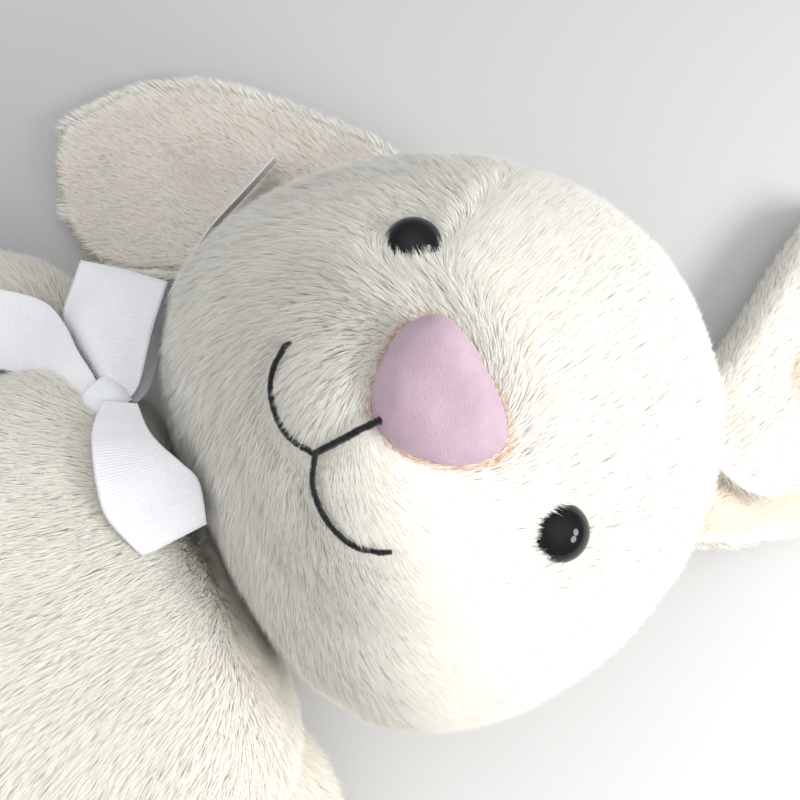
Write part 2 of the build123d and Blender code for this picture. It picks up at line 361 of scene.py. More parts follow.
def fur(name, skin, body, materials, comb, density, length, width, seed, lean=1.8,
        clump=0.12, keep=None, length_at=None, soft=0.92, warm=None):
    """Pile over a skin: one short tapered strand for each root, combed, waved and gathered in locks."""
    rng = np.random.default_rng(seed)
    thin = 1.0
    roots, normals = surface_samples(skin, lambda p: density(p) * thin, rng)
    if keep is not None:
        kept = keep(roots) > rng.random(len(roots))
        roots, normals = roots[kept], normals[kept]
    width = (width(roots) if callable(width) else np.full(len(roots), width))[:, None]
    count = len(roots)
    flow = comb(roots, normals)
    flow = unit(flow - normals * np.sum(flow * normals, axis=1, keepdims=True))
    swirl = vector_noise(roots, 0.016, seed + 11) * 0.5 + vector_noise(roots, 0.005, seed + 21) * 0.5
    centre, lock = clump_centres(roots, LOCK_SIZE)
    lock_random = rng.normal(size=(lock.max() + 1, 3))[lock]
    long = length * (1 + 0.10 * rng.normal(size=count) + 0.10 * noise(roots, 0.012, seed + 31))
    if length_at is not None:
        long = long * length_at(roots)
    long = np.clip(long, length * 0.15, length * 1.3)[:, None]
    stray = rng.normal(size=(count, 3))
    heading = unit(normals + lean * flow + WAVE * swirl + LOCK_STRAY * lock_random + STRAY * stray)
    rising = unit(normals * 0.55 + heading)
    middle = roots + rising * long * 0.45
    tip = middle + heading * long * 0.6
    lock_tip = centre + (tip - roots)
    tip = tip + clump * (lock_tip - tip)
    middle = middle + 0.35 * clump * (centre + (middle - roots) - middle)
    lift = np.sum((tip - roots) * normals, axis=1, keepdims=True)
    tip = tip + normals * np.clip(0.0012 - lift, 0, None)
    side = unit(np.cross(heading, normals) + 0.1 * rng.normal(size=(count, 3)))
    half = side * width / 2 * (0.75 + 0.5 * rng.random((count, 1)))
    verts = np.empty((count, 5, 3), np.float32)
    base = roots - normals * 0.0004
    verts[:, 0], verts[:, 1] = base - half, base + half
    verts[:, 2], verts[:, 3] = middle + half * 0.85, middle - half * 0.85
    verts[:, 4] = tip
    verts[..., 2] = np.maximum(verts[..., 2], FLOOR_GAP)
    own = unit(np.cross(2 * half, middle - base))
    shading = unit(soft * normals + (1 - soft) * own + 0.07 * rng.normal(size=(count, 3)))
    middle_shade = (SHADES - 1) / 2
    pick = rng.normal(size=count) * 0.6 + 0.6 * lock_random[:, 0] + 0.6 * noise(roots, 0.010, seed + 41)
    pick = np.clip(pick + middle_shade, 0, SHADES - 1)
    # Painted shade: strands picked by this mask take the last material, a dark warm tone for the shadow at the
    # nose's edge.
    if warm is not None:
        pick = np.where(warm(roots) > rng.random(count), len(materials) - 1, pick)
    order = np.argsort(roots[:, 0])
    for part, chunk in enumerate(np.array_split(order, count // STRANDS_IN_PIECE + 1)):
        obj = strand_object(f"{name}_{part}", verts[chunk], np.rint(pick[chunk]).astype(np.int32), materials,
                            shading[chunk])
        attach(obj, body)


def strand_object(name, verts, shade, materials, shading):
    """One mesh of strands, a quad and a triangle each, shaded with the pile's own surface."""
    count = len(verts)
    mesh = bpy.data.meshes.new(name)
    mesh.vertices.add(count * 5)
    mesh.vertices.foreach_set("co", verts.ravel())
    first = np.arange(count, dtype=np.int32)[:, None] * 5
    loops = first + np.array([0, 1, 2, 3, 3, 2, 4], np.int32)
    mesh.loops.add(count * 7)
    mesh.loops.foreach_set("vertex_index", loops.ravel())
    starts = np.arange(count, dtype=np.int32)[:, None] * 7 + np.array([0, 4], np.int32)
    mesh.polygons.add(count * 2)
    mesh.polygons.foreach_set("loop_start", starts.ravel())
    mesh.polygons.foreach_set("material_index", np.repeat(shade, 2).astype(np.int32))
    mesh.polygons.foreach_set("use_smooth", np.ones(count * 2, bool))
    for material in materials:
        mesh.materials.append(material)
    mesh.update(calc_edges=True)
    normals = mesh.attributes.new("custom_normal", "FLOAT_VECTOR", "POINT")
    normals.data.foreach_set("vector", np.repeat(shading, 5, axis=0).astype(np.float32).ravel())
    return new_object(name, mesh)


def dense(value):
    """An even density of strands, to the square centimetre."""
    return lambda p: np.full(len(p), value * 1e4)


# --- Stuffed forms ---
def along_ray(directions, origin, centre, size):
    """Distance from origin to an ellipsoid's surface along each direction."""
    o = (origin - centre) / size
    d = directions / size
    a = np.sum(d * d, axis=1)
    b = d @ o
    c = o @ o - 1
    inside = np.maximum(b * b - a * c, 0)
    return np.where(b * b - a * c > 0, (-b + np.sqrt(inside)) / a, 0)


def smooth_max(a, b, soft):
    h = np.clip(0.5 + 0.5 * (a - b) / soft, 0, 1)
    return b + (a - b) * h + soft * h * (1 - h)


def press(height, soft=0.010):
    """Heights over a flat face after pressing on it: none below 0, with a rounded edge."""
    t = np.clip(height / soft, -1, 1)
    return np.where(height > soft, height, soft * (t + 1) ** 2 / 4)


FLAT_PILE = 0.0035            # the height of pile that the toy lies on


def rest_on_floor(points):
    """Presses a form's underside flat."""
    points = points.copy()
    points[:, 2] = FLAT_PILE + press(points[:, 2] - FLAT_PILE)
    return points


def head_points(directions):
    """The head's backing: a wide-cheeked form with a muzzle and eye hollows."""
    d = unit(directions)
    power = 2.0 + 0.55 * smoothstep(0.15, -0.5, d[:, 1])
    length = np.where(d[:, 1] > 0, CROWN - 0.006, CHIN + 0.001) - PILE
    reach = (np.abs(d[:, 0]) / (HEAD_WIDTH - 0.003 - PILE)) ** power + (np.abs(d[:, 1]) / length) ** power
    flat = reach ** (2 / power)
    r = 1 / np.sqrt(flat + (d[:, 2] / (HEAD_DEPTH - PILE)) ** 2)
    muzzle = along_ray(d, HEAD, MUZZLE, MUZZLE_SIZE - PILE)
    r = smooth_max(r, muzzle, 0.012)
    p = HEAD + d * r[:, None]
    p[:, 0] -= 0.004 * smoothstep(HEAD[2] + 0.060, HEAD[2] - 0.010, p[:, 2])
    p[:, 1] -= 0.003 * smoothstep(HEAD[2] + 0.060, HEAD[2] - 0.010, p[:, 2])
    for side, eye in EYES.items():
        away = np.linalg.norm(p - eye - (0, 0, 0.004), axis=1)
        p = p - d * (0.0025 * np.exp(-(away / 0.015) ** 2))[:, None]
    around_nose = np.linalg.norm((p - NOSE)[:, :2] / (1.35, 1.0), axis=1)
    p = p - d * (0.004 * np.exp(-(around_nose / 0.020) ** 4) * (p[:, 2] > HEAD[2]))[:, None]
    return rest_on_floor(p)


YOKE = np.array([0.008, 0.112, 0.078])        # the shoulders' middle
YOKE_HALF = np.array([0.125, 0.076, 0.078])   # and half sizes
YOKE_POWER = 3.6


def torso_points(directions):
    """The torso's backing: a belly that runs into square shoulders."""
    d = unit(directions)
    low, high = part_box("torso_front_panel")
    half = np.array([high[0], high[1], 0.092]) - PILE
    origin = np.array([0.0, 0.060, 0.082])

    def outside(p):
        belly = np.linalg.norm((p - (0, 0, 0.084)) / half, axis=1) - 1
        q = np.abs((p - YOKE) / (YOKE_HALF - PILE))
        yoke = np.sum(q ** YOKE_POWER, axis=1) ** (1 / YOKE_POWER) - 1
        return -smooth_max(-belly * 0.10, -yoke * 0.08, 0.012)

    near, far = np.zeros(len(d)), np.full(len(d), 0.40)
    for _ in range(26):
        middle = (near + far) / 2
        out = outside(origin + d * middle[:, None]) > 0
        near, far = np.where(out, near, middle), np.where(out, middle, far)
    return rest_on_floor(origin + d * near[:, None])


def limb_mesh(name, place, heading, root, end, length, foot=None, shoulder=None):
    """A limb's closed backing along one heading, with a raised foot at its end if it has one."""
    columns = 64
    t = np.linspace(0, pi, 18)
    profile = [(-root * cos(a), root * sin(a)) for a in t[:9]]
    profile += [(length * s, root + (end - root) * s) for s in np.linspace(0, 1, 30)]
    profile += [(length + end * sin(a), end * cos(a)) for a in np.linspace(0, pi / 2, 12)[1:]]
    profile = np.array(profile)
    angle = np.linspace(0, 2 * pi, columns, endpoint=False)
    x = np.repeat(profile[:, :1], columns, axis=1)
    y = profile[:, 1:] * np.cos(angle)
    z = profile[:, 1:] * np.sin(angle)
    verts = np.stack([x, y, z], axis=2).reshape(-1, 3)
    obj = mesh_object(name, verts, grid_faces(len(profile), columns, wrap=True))
    if foot:
        merge_ball(obj, np.array(foot) - PILE, (length - 0.002, 0, 0.022))
    if shoulder:
        merge_ball(obj, np.array(shoulder[0]) - PILE, shoulder[1])
    turn = Matrix.Rotation(heading, 3, "Z")
    set_coords(obj.data, coords(obj.data) @ np.array(turn).T + place)
    return obj


VOXEL = 0.005


def merge_ball(obj, size, centre):
    """Adds an ellipsoid to a limb's mesh, to be fused by remeshing."""
    extra = ball(obj.name + "_extra", 4)
    set_coords(extra.data, coords(extra.data) * size + centre)
    bm = bmesh.new()
    bm.from_mesh(obj.data)
    bm.from_mesh(extra.data)
    bm.to_mesh(obj.data)
    bm.free()
    bpy.data.objects.remove(extra)


def remesh(obj):
    """One even closed mesh from overlapping forms."""
    modifier = obj.modifiers.new("remesh", "REMESH")
    modifier.mode = "VOXEL"
    modifier.voxel_size = VOXEL
    modifier = obj.modifiers.new("smooth", "SMOOTH")
    modifier.factor = 0.5
    modifier.iterations = 6
    return apply_modifiers(obj)


SLACK = 0.0035                # how far the simulated cloth may move
PRESSURE = 4.0
FRAMES = 20


def inflate(obj, pinned):
    """Cloth under air pressure, held at its seams, for the slack and dimples of a stuffed skin."""
    before = coords(obj.data)
    group = obj.vertex_groups.new(name="pinned")
    group.add([int(i) for i in np.nonzero(pinned(before))[0]], 1.0, "REPLACE")
    cloth = obj.modifiers.new("cloth", "CLOTH")
    settings = cloth.settings
    settings.quality = 6
    settings.mass = 0.2
    settings.tension_stiffness = 25
    settings.compression_stiffness = 25
    settings.shear_stiffness = 10
    settings.bending_stiffness = 0.6
    settings.use_pressure = True
    settings.uniform_pressure_force = PRESSURE
    settings.effector_weights.gravity = 0
    settings.shrink_min = 0.02
    settings.vertex_group_mass = "pinned"
    cloth.collision_settings.use_collision = False
    scene = bpy.context.scene
    for number in range(1, FRAMES + 1):
        scene.frame_set(number)
    depsgraph = bpy.context.evaluated_depsgraph_get()
    moved = coords(obj.evaluated_get(depsgraph).data) - before
    obj.modifiers.clear()
    obj.vertex_groups.clear()
    scene.frame_set(1)
    length = np.linalg.norm(moved, axis=1, keepdims=True)
    set_coords(obj.data, before + moved * np.minimum(1, SLACK / np.maximum(length, 1e-9)))
    return obj


def refine(obj):
    """Subdivides a skin once."""
    modifier = obj.modifiers.new("refine", "SUBSURF")
    modifier.levels = 1
    return apply_modifiers(obj)


def groove(obj, distance, depth, width=0.004):
    """Pulls a skin in along a seam, where distance(points) is 0."""
    co, no = coords(obj.data), vertex_normals(obj.data)
    near = np.exp(-(distance(co) / width) ** 2)
    set_coords(obj.data, co - no * (depth * near)[:, None])


def split(obj, name, inside):
    """A new object from the faces whose centres are inside, taken out of obj."""
    bm = bmesh.new()
    bm.from_mesh(obj.data)
    centres = np.array([f.calc_center_median() for f in bm.faces])
    chosen = inside(centres)
    other = bm.copy()
    other.faces.ensure_lookup_table()
    bm.faces.ensure_lookup_table()
    bmesh.ops.delete(other, geom=[other.faces[i] for i in np.nonzero(~chosen)[0]], context="FACES")
    bmesh.ops.delete(bm, geom=[bm.faces[i] for i in np.nonzero(chosen)[0]], context="FACES")
    mesh = bpy.data.meshes.new(name)
    other.to_mesh(mesh)
    bm.to_mesh(obj.data)
    other.free()
    bm.free()
    shade_smooth(mesh)
    return new_object(name, mesh)


# --- Shared materials ---
BACKING = mottled_material("plush_backing", (60.0, 4.0, [(0.3, (0.91, 0.88, 0.81)), (0.7, (0.95, 0.93, 0.87))]),
                           (900.0, 2.0, 0.6, 0.0006), rough=0.95)
HEAD_FUR = shades("head_fur", (0.950, 0.935, 0.865), 0.030)
BODY_FUR = shades("body_fur", (0.965, 0.935, 0.855), 0.025)
# The last face material is painted shade: a dark warm tone for the shadow round the nose, where it presses into
# the pile.
FACE_FUR = HEAD_FUR + [plain_material("face_fur_warm", (0.72, 0.50, 0.38))]
LINING_FUR = shades("lining_fur", (0.975, 0.925, 0.845), 0.030)
PEACH_FUR = shades("peach_fur", (0.945, 0.845, 0.72), 0.030)
YARN = mottled_material("mouth_yarn", (1500.0, 3.0, [(0.3, (0.006, 0.006, 0.008)), (0.7, (0.03, 0.03, 0.035))]),
                        (4000.0, 3.0, 0.8, 0.0004), specular=0.15, sheen=0.4)
YARN_FUZZ = shades("yarn_fuzz", (0.012, 0.012, 0.014), 0.4)
RIBBON_CLOTH = mottled_material("ribbon_grosgrain", (90.0, 4.0, [(0.3, (0.88, 0.895, 0.93)),
                                                                 (0.7, (0.92, 0.93, 0.955))]),
                                (2600.0, 2.0, 0.5, 0.0003), rough=0.55, specular=0.35, sheen=0.25)
EYE_PLASTIC = eye_material()
VELOUR = velour_material()
LINING_CLOTH = mottled_material("lining_cloth", (40.0, 4.0, [(0.3, (0.94, 0.86, 0.74)),
                                                             (0.7, (0.97, 0.91, 0.81))]),
                                (900.0, 2.0, 0.5, 0.0005))


# --- Head ---
SEAM_X = (0.0, 0.030, 0.046, 0.052, 0.067, 0.100, 0.140)
SEAM_Y = (0.047, 0.043, 0.037, 0.037, 0.064, 0.120, 0.170)    # past the widest section


def seam_offset(p):
    """How far a point is past the forehead seam, a V that comes down between the eyes."""
    return p[:, 1] - HEAD[1] - np.interp(np.abs(p[:, 0]), SEAM_X, SEAM_Y)


COVERED_SIDE = {"right": np.array([0.80, -0.60, 0.0]), "left": np.array([-0.30, -0.95, 0.0])}


def head_comb(p, n):
    """The forehead's pile runs to the crown, and the face's runs round the nose, as the chin does."""
    up = np.stack([-0.25 + 0 * p[:, 0], 1.0 + 0 * p[:, 0], -0.35 + 0 * p[:, 0]], axis=1)
    away = unit((p - NOSE) * (1, 1, 0))
    down = np.stack([-away[:, 1], away[:, 0], -0.25 + 0 * p[:, 0]], axis=1) + 0.30 * away
    forehead = smoothstep(-0.004, 0.004, seam_offset(p))[:, None]
    flow = up * forehead + down * (1 - forehead)
    for side, eye in EYES.items():
        away = p - eye
        distance = np.linalg.norm(away, axis=1)
        covered = smoothstep(-0.1, 0.5, (away / np.maximum(distance, 1e-6)[:, None]) @ COVERED_SIDE[side])
        over = covered * np.exp(-(distance / 0.019) ** 4)
        flow = flow * (1 - over[:, None]) - 1.4 * unit(away) * over[:, None]
    return flow


def mouth_lines():
    """The three stitched lines as points on the muzzle, from the frame's stitch boxes."""
    low, high = (np.array(c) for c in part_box("mouth_left_stitch"))
    top = np.array(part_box("mouth_centre_stitch")[1])[1]
    join = np.array(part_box("mouth_centre_stitch")[0])[1]
    lines = {"mouth_centre_stitch": [(0, top + 0.001), (0, (top + join) / 2), (0, join)]}
    bottom = low[1]
    end = (high[0], high[1])
    for name, side in (("mouth_right_stitch", -1), ("mouth_left_stitch", 1)):
        lines[name] = [(0, join), (side * end[0] * 0.22, bottom + 0.0025), (side * end[0] * 0.5, bottom + 0.0015),
                       (side * end[0] * 0.77, bottom + 0.0058), (side * end[0] * 0.92, bottom + 0.0136),
                       (side * end[0] * 0.955, bottom + 0.62 * (end[1] - bottom) + 0.0052)]
    return lines


def drop_on(bvh, points, height):
    """Points in plan set on a surface from above."""
    placed = []
    for x, y in points:
        hit = bvh.ray_cast(Vector((x, y, 0.5)), Vector((0, 0, -1)))[0]
        placed.append((x, y, hit.z + height))
    return np.array(placed)


def make_head():
    whole = ball("head_back_skin", 6)
    set_coords(whole.data, head_points(coords(whole.data)))
    groove(whole, seam_offset, 0.0015, 0.003)
    groove(whole, lambda p: np.where(seam_offset(p) > 0, p[:, 2] - HEAD[2], 1.0), 0.0012, 0.003)
    bvh = BVHTree.FromObject(whole, bpy.context.evaluated_depsgraph_get())
    lines = {name: drop_on(bvh, curve_points(line, 90), 0.0) for name, line in mouth_lines().items()}
    line_points = np.vstack(list(lines.values()))
    forehead = split(whole, "forehead_skin", lambda c: (c[:, 2] > HEAD[2]) & (seam_offset(c) > 0))
    face = split(whole, "face_skin", lambda c: (c[:, 2] > HEAD[2]) & (seam_offset(c) <= 0))
    pieces = (("face_skin", face, ("face_panel",)), ("forehead_skin", forehead, ("forehead_panel",)),
              ("head_back_skin", whole, ("head_back_panel", "head_stuffing")))
    for name, obj, nodes in pieces:
        dress(obj, BACKING, "head", nodes)

    def clear_of_features(p):
        keep = np.ones(len(p))
        for eye in EYES.values():
            keep *= smoothstep(0.0104, 0.0114, np.linalg.norm((p - eye), axis=1))
        keep *= 1 - nose_inside(p, 0.93) * (p[:, 2] > HEAD[2])
        return keep

    def pile_length(p):
        scale = np.ones(len(p))
        for side, eye in EYES.items():
            away = p - eye
            distance = np.linalg.norm(away, axis=1)
            covered = smoothstep(-0.1, 0.5, (away / np.maximum(distance, 1e-6)[:, None]) @ COVERED_SIDE[side])
            scale *= 1 + (0.30 * covered - 0.35 * (1 - covered)) * (1 - smoothstep(0.013, 0.022, distance))
        ring = nose_distance(p)
        scale *= np.where(p[:, 2] > HEAD[2], 0.40 + 0.60 * smoothstep(1.0, 1.45, ring), 1)
        if len(p):
            near = np.full(len(p), 1.0)
            front = p[:, 2] > HEAD[2] + 0.05
            close = np.min(np.linalg.norm(p[front][:, None, :2] - line_points[None, ::6, :2], axis=2), axis=1)
            near[front] = 0.30 + 0.70 * smoothstep(0.0020, 0.0080, close)
            scale *= near
        return scale

    # Where the painted nose shadow goes: a share of the strands close round the nose's outline.
    def nose_shadow_share(p):
        return (p[:, 2] > HEAD[2]) * 0.75 * (1 - smoothstep(1.0, 1.16, nose_distance(p)))

    common = dict(comb=head_comb, length=0.0092, materials=FACE_FUR, keep=clear_of_features,
                  length_at=pile_length, warm=nose_shadow_share)
    fur("face_fur", face, "head", density=dense(300), width=0.00030, seed=11, **common)
    fur("forehead_fur", forehead, "head", density=dense(290), width=0.00031, seed=23, **common)
    fur("head_back_fur", whole, "head", density=dense(70), width=0.0006, seed=31, **common)
    return lines


# --- Nose, eyes and mouth ---
NOSE_HALF = (NOSE_HIGH - NOSE_LOW) / 2


def nose_distance(p):
    """1 on the nose's outline seen from the front, less inside and more outside."""
    x = (p[:, 0] - NOSE[0]) / (NOSE_HALF[0] + 0.001)
    y = (p[:, 1] - NOSE[1] + 0.0005) / (NOSE_HALF[1] + 0.0005)
    taper = 1 - 0.26 * np.clip(0.35 - y, -0.6, 1.4)
    power = 2.1 + 0.7 * smoothstep(-0.2, 0.8, y)
    return (np.abs(x / np.clip(taper, 0.45, 1.1)) ** power + np.abs(y) ** power) ** (1 / power)


def nose_inside(p, edge):
    return (nose_distance(p) < edge).astype(float)


def make_nose():
    """A stuffed velour cushion, rounded at the top corners and narrow towards the mouth."""
    obj = ball("nose_velour_cover", 6)
    d = unit(coords(obj.data))
    flat = np.hypot(d[:, 0], d[:, 1])
    rim = nose_distance(np.stack([NOSE[0] + d[:, 0] / np.maximum(flat, 1e-6) * NOSE_HALF[0],
                                  NOSE[1] + d[:, 1] / np.maximum(flat, 1e-6) * NOSE_HALF[1],
                                  d[:, 2]], axis=1))
    plump = np.sign(d[:, 2]) * np.abs(d[:, 2]) ** 0.9
    spread = flat ** 0.85
    x = d[:, 0] / np.maximum(flat, 1e-6) * spread * NOSE_HALF[0] / rim
    y = d[:, 1] / np.maximum(flat, 1e-6) * spread * NOSE_HALF[1] / rim
    z = plump * NOSE_HALF[2]
    p = np.stack([x, y, z], axis=1) + NOSE
    p = p + 0.00035 * vector_noise(p, 0.008, 3)
    set_coords(obj.data, p)
    dress(obj, VELOUR, "head", ["nose_cover", "nose_stuffing"])


def lathe(name, profile):
    """A closed turned form about +z through (radius, height) points."""
    profile = np.array(profile)
    columns = 72
    angle = np.linspace(0, 2 * pi, columns, endpoint=False)
    rings = [(np.stack([r * np.cos(angle), r * np.sin(angle), np.full(columns, h)], axis=1))
             for r, h in profile]
    obj = mesh_object(name, np.vstack(rings), grid_faces(len(profile), columns, wrap=True))
    return close_mesh(obj, 1e-6)


EYE_SINK = {"right": 0.0088, "left": 0.0076}


def eye_axis(side):
    """A point on the head's rounded form where an eye sits, and the eye's outward direction there."""
    seat = EYES[side]
    low, high = (np.array(c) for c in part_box(side + "_eye"))
    sign = -1 if side == "right" else 1
    offset = (np.array([sign * 0.068, HEAD[1] + 0.034, HEAD[2]]) - HEAD)
    rise = (1 - (offset[0] / HEAD_WIDTH) ** 2 - (offset[1] / CROWN) ** 2) ** 0.5 * HEAD_DEPTH
    surface = np.array([offset[0], offset[1], rise])
    normal = unit(surface / np.array([HEAD_WIDTH, CROWN, HEAD_DEPTH]) ** 2)
    return HEAD + surface, normal


def make_eyes():
    """Domed safety eyes with a thin rim, each on its shank."""
    for side in EYES:
        surface, normal = eye_axis(side)
        radius, dome, rim = 0.012, 0.0090, 0.0012
        ball_radius = (radius ** 2 + dome ** 2) / (2 * dome)
        reach = np.linspace(0, radius - 0.0006, 26)
        cap = [(r, rim + dome - ball_radius + (ball_radius ** 2 - r ** 2) ** 0.5) for r in reach]
        lip = [(radius - 0.0002, rim + 0.0002), (radius, rim - 0.0003), (radius, 0.0003), (radius - 0.0004, 0)]
        shank = [(0.0028, 0), (0.0025, -0.0004), (0.0025, -0.0138), (0.0017, -0.015), (0.0, -0.015)]
        obj = lathe(side + "_eye_dome", cap + lip + shank)
        place = Vector(surface - normal * EYE_SINK[side])
        turn = Vector((0, 0, 1)).rotation_difference(Vector(normal)).to_matrix()
        set_coords(obj.data, coords(obj.data) @ np.array(turn).T + np.array(place))
        dress(obj, EYE_PLASTIC, "head", [side + "_eye"])


def tube(points, radius, columns=10):
    """Rings of a tube's surface along points, as vertices and faces."""
    points = np.asarray(points)
    tangent = unit(np.gradient(points, axis=0))
    up = np.tile([0.0, 0.0, 1.0], (len(points), 1))
    side = unit(np.cross(tangent, up))
    up = np.cross(side, tangent)
    angle = np.linspace(0, 2 * pi, columns, endpoint=False)
    radius = np.broadcast_to(np.asarray(radius, float), len(points))
    ring = (side[:, None] * np.cos(angle)[None, :, None] + up[:, None] * np.sin(angle)[None, :, None])
    verts = points[:, None] + ring * radius[:, None, None]
    faces = grid_faces(len(points), columns, wrap=True)
    count = len(points)
    faces.append(tuple(range(columns))[::-1])
    faces.append(tuple(range((count - 1) * columns, count * columns)))
    return verts.reshape(-1, 3), faces


YARN_LIFT = 0.0063            # the yarn lies in a dent of the pile, above the backing


def make_mouth(lines):
    """Satin-stitched yarn: overlapping slanted stitches along each line, with loose fuzz."""
    rng = np.random.default_rng(5)
    for name, line in lines.items():
        wide = 0.00112 if "centre" in name else 0.00086
        steps = np.concatenate([[0], np.cumsum(np.linalg.norm(np.diff(line, axis=0), axis=1))])
        tangents = unit(np.gradient(line, axis=0))
        pitch = 0.0019
        verts, faces = [], []
        for centre_step in np.arange(0.0008, steps[-1], pitch):
            s = np.linspace(centre_step - 0.0019, centre_step + 0.0019, 9)
            centre = np.stack([np.interp(s, steps, line[:, k]) for k in range(3)], axis=1)
            tangent = tangents[np.searchsorted(steps, centre_step) - 1]
            along = np.clip(s, 0, steps[-1]) - s
            centre = centre - tangent * along[:, None]
            across = unit(np.cross(tangent, [0, 0, 1.0]))
            arch = np.cos(np.linspace(-pi / 2, pi / 2, 9))
            slant = np.linspace(-1, 1, 9)[:, None] * across * wide * 0.4
            height = YARN_LIFT + 0.0003 * arch
            path = centre + slant + np.array([0, 0, 1.0]) * height[:, None] + rng.normal(size=3) * 0.00007
            new_verts, new_faces = tube(path, wide * (0.70 + 0.30 * arch), 8)
            offset = sum(len(v) for v in verts)
            verts.append(new_verts)
            faces += [tuple(j + offset for j in face) for face in new_faces]
        obj = mesh_object(name + "_yarn", np.vstack(verts), faces)
        dress(obj, YARN, "head", [name])
        fur(name + "_fuzz", obj, "head", YARN_FUZZ, lambda p, n: vector_noise(p, 0.002, 15), dense(900),
            0.0010, 0.00016, lean=0.6, clump=0.0, seed=17)


# --- Torso, limbs and pom-pom ---
def torso_comb(p, n):
    return np.stack([p[:, 0] / 0.20, -1.0 + 0 * p[:, 0], -0.25 + 0 * p[:, 0]], axis=1)


def near_head(fine, coarse):
    """One value by the shoulders, where the toy is seen close up, and another further away."""
    return lambda p: coarse + (fine - coarse) * smoothstep(-0.10, -0.02, p[:, 1]) * (p[:, 2] > 0.04)


def make_torso():
    skin = ball("torso_back_skin", 5)
    set_coords(skin.data, torso_points(coords(skin.data)))
    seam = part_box("torso_front_panel")[0][2]
    refine(inflate(skin, lambda p: np.abs(p[:, 2] - seam) < 0.004))
    set_coords(skin.data, rest_on_floor(coords(skin.data)))
    shape = coords(skin.data).tolist(), [tuple(f.vertices) for f in skin.data.polygons]
    groove(skin, lambda p: p[:, 2] - seam, 0.0015)
    front = split(skin, "torso_front_skin", lambda c: c[:, 2] > seam)
    for obj, nodes in ((front, ("torso_front_panel",)), (skin, ("torso_back_panel", "torso_stuffing"))):
        dress(obj, BACKING, "torso", nodes)
    fur("torso_front_fur", front, "torso", BODY_FUR, torso_comb, near_head(280e4, 50e4), 0.0092,
        near_head(0.00034, 0.0008), lean=2.1, clump=0.06, seed=41)
    fur("torso_back_fur", skin, "torso", BODY_FUR, torso_comb, near_head(90e4, 42e4), 0.0098,
        near_head(0.0006, 0.0008), seed=43)
    return shape


def make_limb(name, root, end, length, foot=None, shoulder=None, shift=(0, 0, 0), turn=0.0):
    joint = next(j for j in frame["joints"] if j["name"] == name + "_lift")
    place = np.array(joint["pos_m"]) + shift
    axis = np.array(joint["axis"])
    direction = np.cross([0, 0, 1.0], axis)
    heading = np.arctan2(direction[1], direction[0]) + turn
    skin = limb_mesh(name + "_skin", place, heading, root - PILE, end - PILE, length, foot, shoulder)
    remesh(skin)
    on_seam = lambda p: np.abs(p[:, 2] - place[2]) < 0.003
    refine(inflate(skin, on_seam))
    set_coords(skin.data, rest_on_floor(coords(skin.data)))
    groove(skin, lambda p: p[:, 2] - place[2], 0.0015)
    if foot:
        make_sole(name, skin, place, np.array([cos(heading), sin(heading), 0.0]), length + SOLE_START)
    nodes = [name + tail for tail in ("_upper_panel", "_under_panel", "_stuffing")]
    dress(skin, BACKING, name, nodes)
    flow = unit(direction)
    comb = lambda p, n: np.tile(flow * 1.0, (len(p), 1)) + np.array([0, 0, -0.2])
    arm = "arm" in name
    density = near_head(200e4, 48e4) if arm else dense(46)
    fur(name + "_fur", skin, name, BODY_FUR, comb, density, 0.0095, near_head(0.0004, 0.0008) if arm else 0.0008,
        seed=53 + len(name) + ord(name[0]))
    return skin


SOLE_START = 0.020            # how far past the leg's end the foot is cut flat


def make_sole(name, skin, place, ahead, reach):
    """A flat sole of lining plush let into the end of a foot."""
    points = coords(skin.data)
    gap = reach - PILE / 2 - (points - place) @ ahead
    set_coords(skin.data, points + ahead * (gap - press(gap, 0.006))[:, None])
    sole = split(skin, name + "_sole_cloth", lambda c: reach - PILE / 2 - (c - place) @ ahead < 0.0009)
    dress(sole, LINING_CLOTH, name, [name + "_sole"])
    fur(name + "_sole_pile", sole, name, LINING_FUR, lambda p, n: np.tile([0, 0, 1.0], (len(p), 1)), dense(150),
        0.0036, 0.0005, lean=0.8, clump=0.05, seed=67)


ARMS = {   # each arm's fuller root (half sizes, centre along the arm), its shift and its turn
    "right": (((0.050, 0.046, 0.048), (-0.006, 0.0, 0.002)), (0.012, -0.010, 0.0), radians(9)),
    "left": (((0.066, 0.051, 0.050), (-0.030, 0.007, 0.004)), (-0.004, -0.014, 0.0), 0.0),
}


def make_limbs():
    for side in ("right", "left"):
        shoulder, shift, turn = ARMS[side]
        make_limb(side + "_arm", 0.048, 0.047, 0.165, None, shoulder, shift, turn)
        make_limb(side + "_leg", 0.048, 0.054, 0.205, (0.040, 0.056, 0.076))


def make_pompom():
    low, high = (np.array(c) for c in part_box("pompom_cover"))
    centre = (low + high) / 2
    skin = ball("pompom_skin", 4)
    set_coords(skin.data, coords(skin.data) * ((high - low) / 2 - 0.014) + centre)
    dress(skin, BACKING, "torso", ["pompom_cover", "pompom_stuffing"])
    comb = lambda p, n: vector_noise(p, 0.02, 71)
    fur("pompom_fur", skin, "torso", BODY_FUR, comb, dense(90), 0.0165, 0.0008, lean=0.5, seed=61)


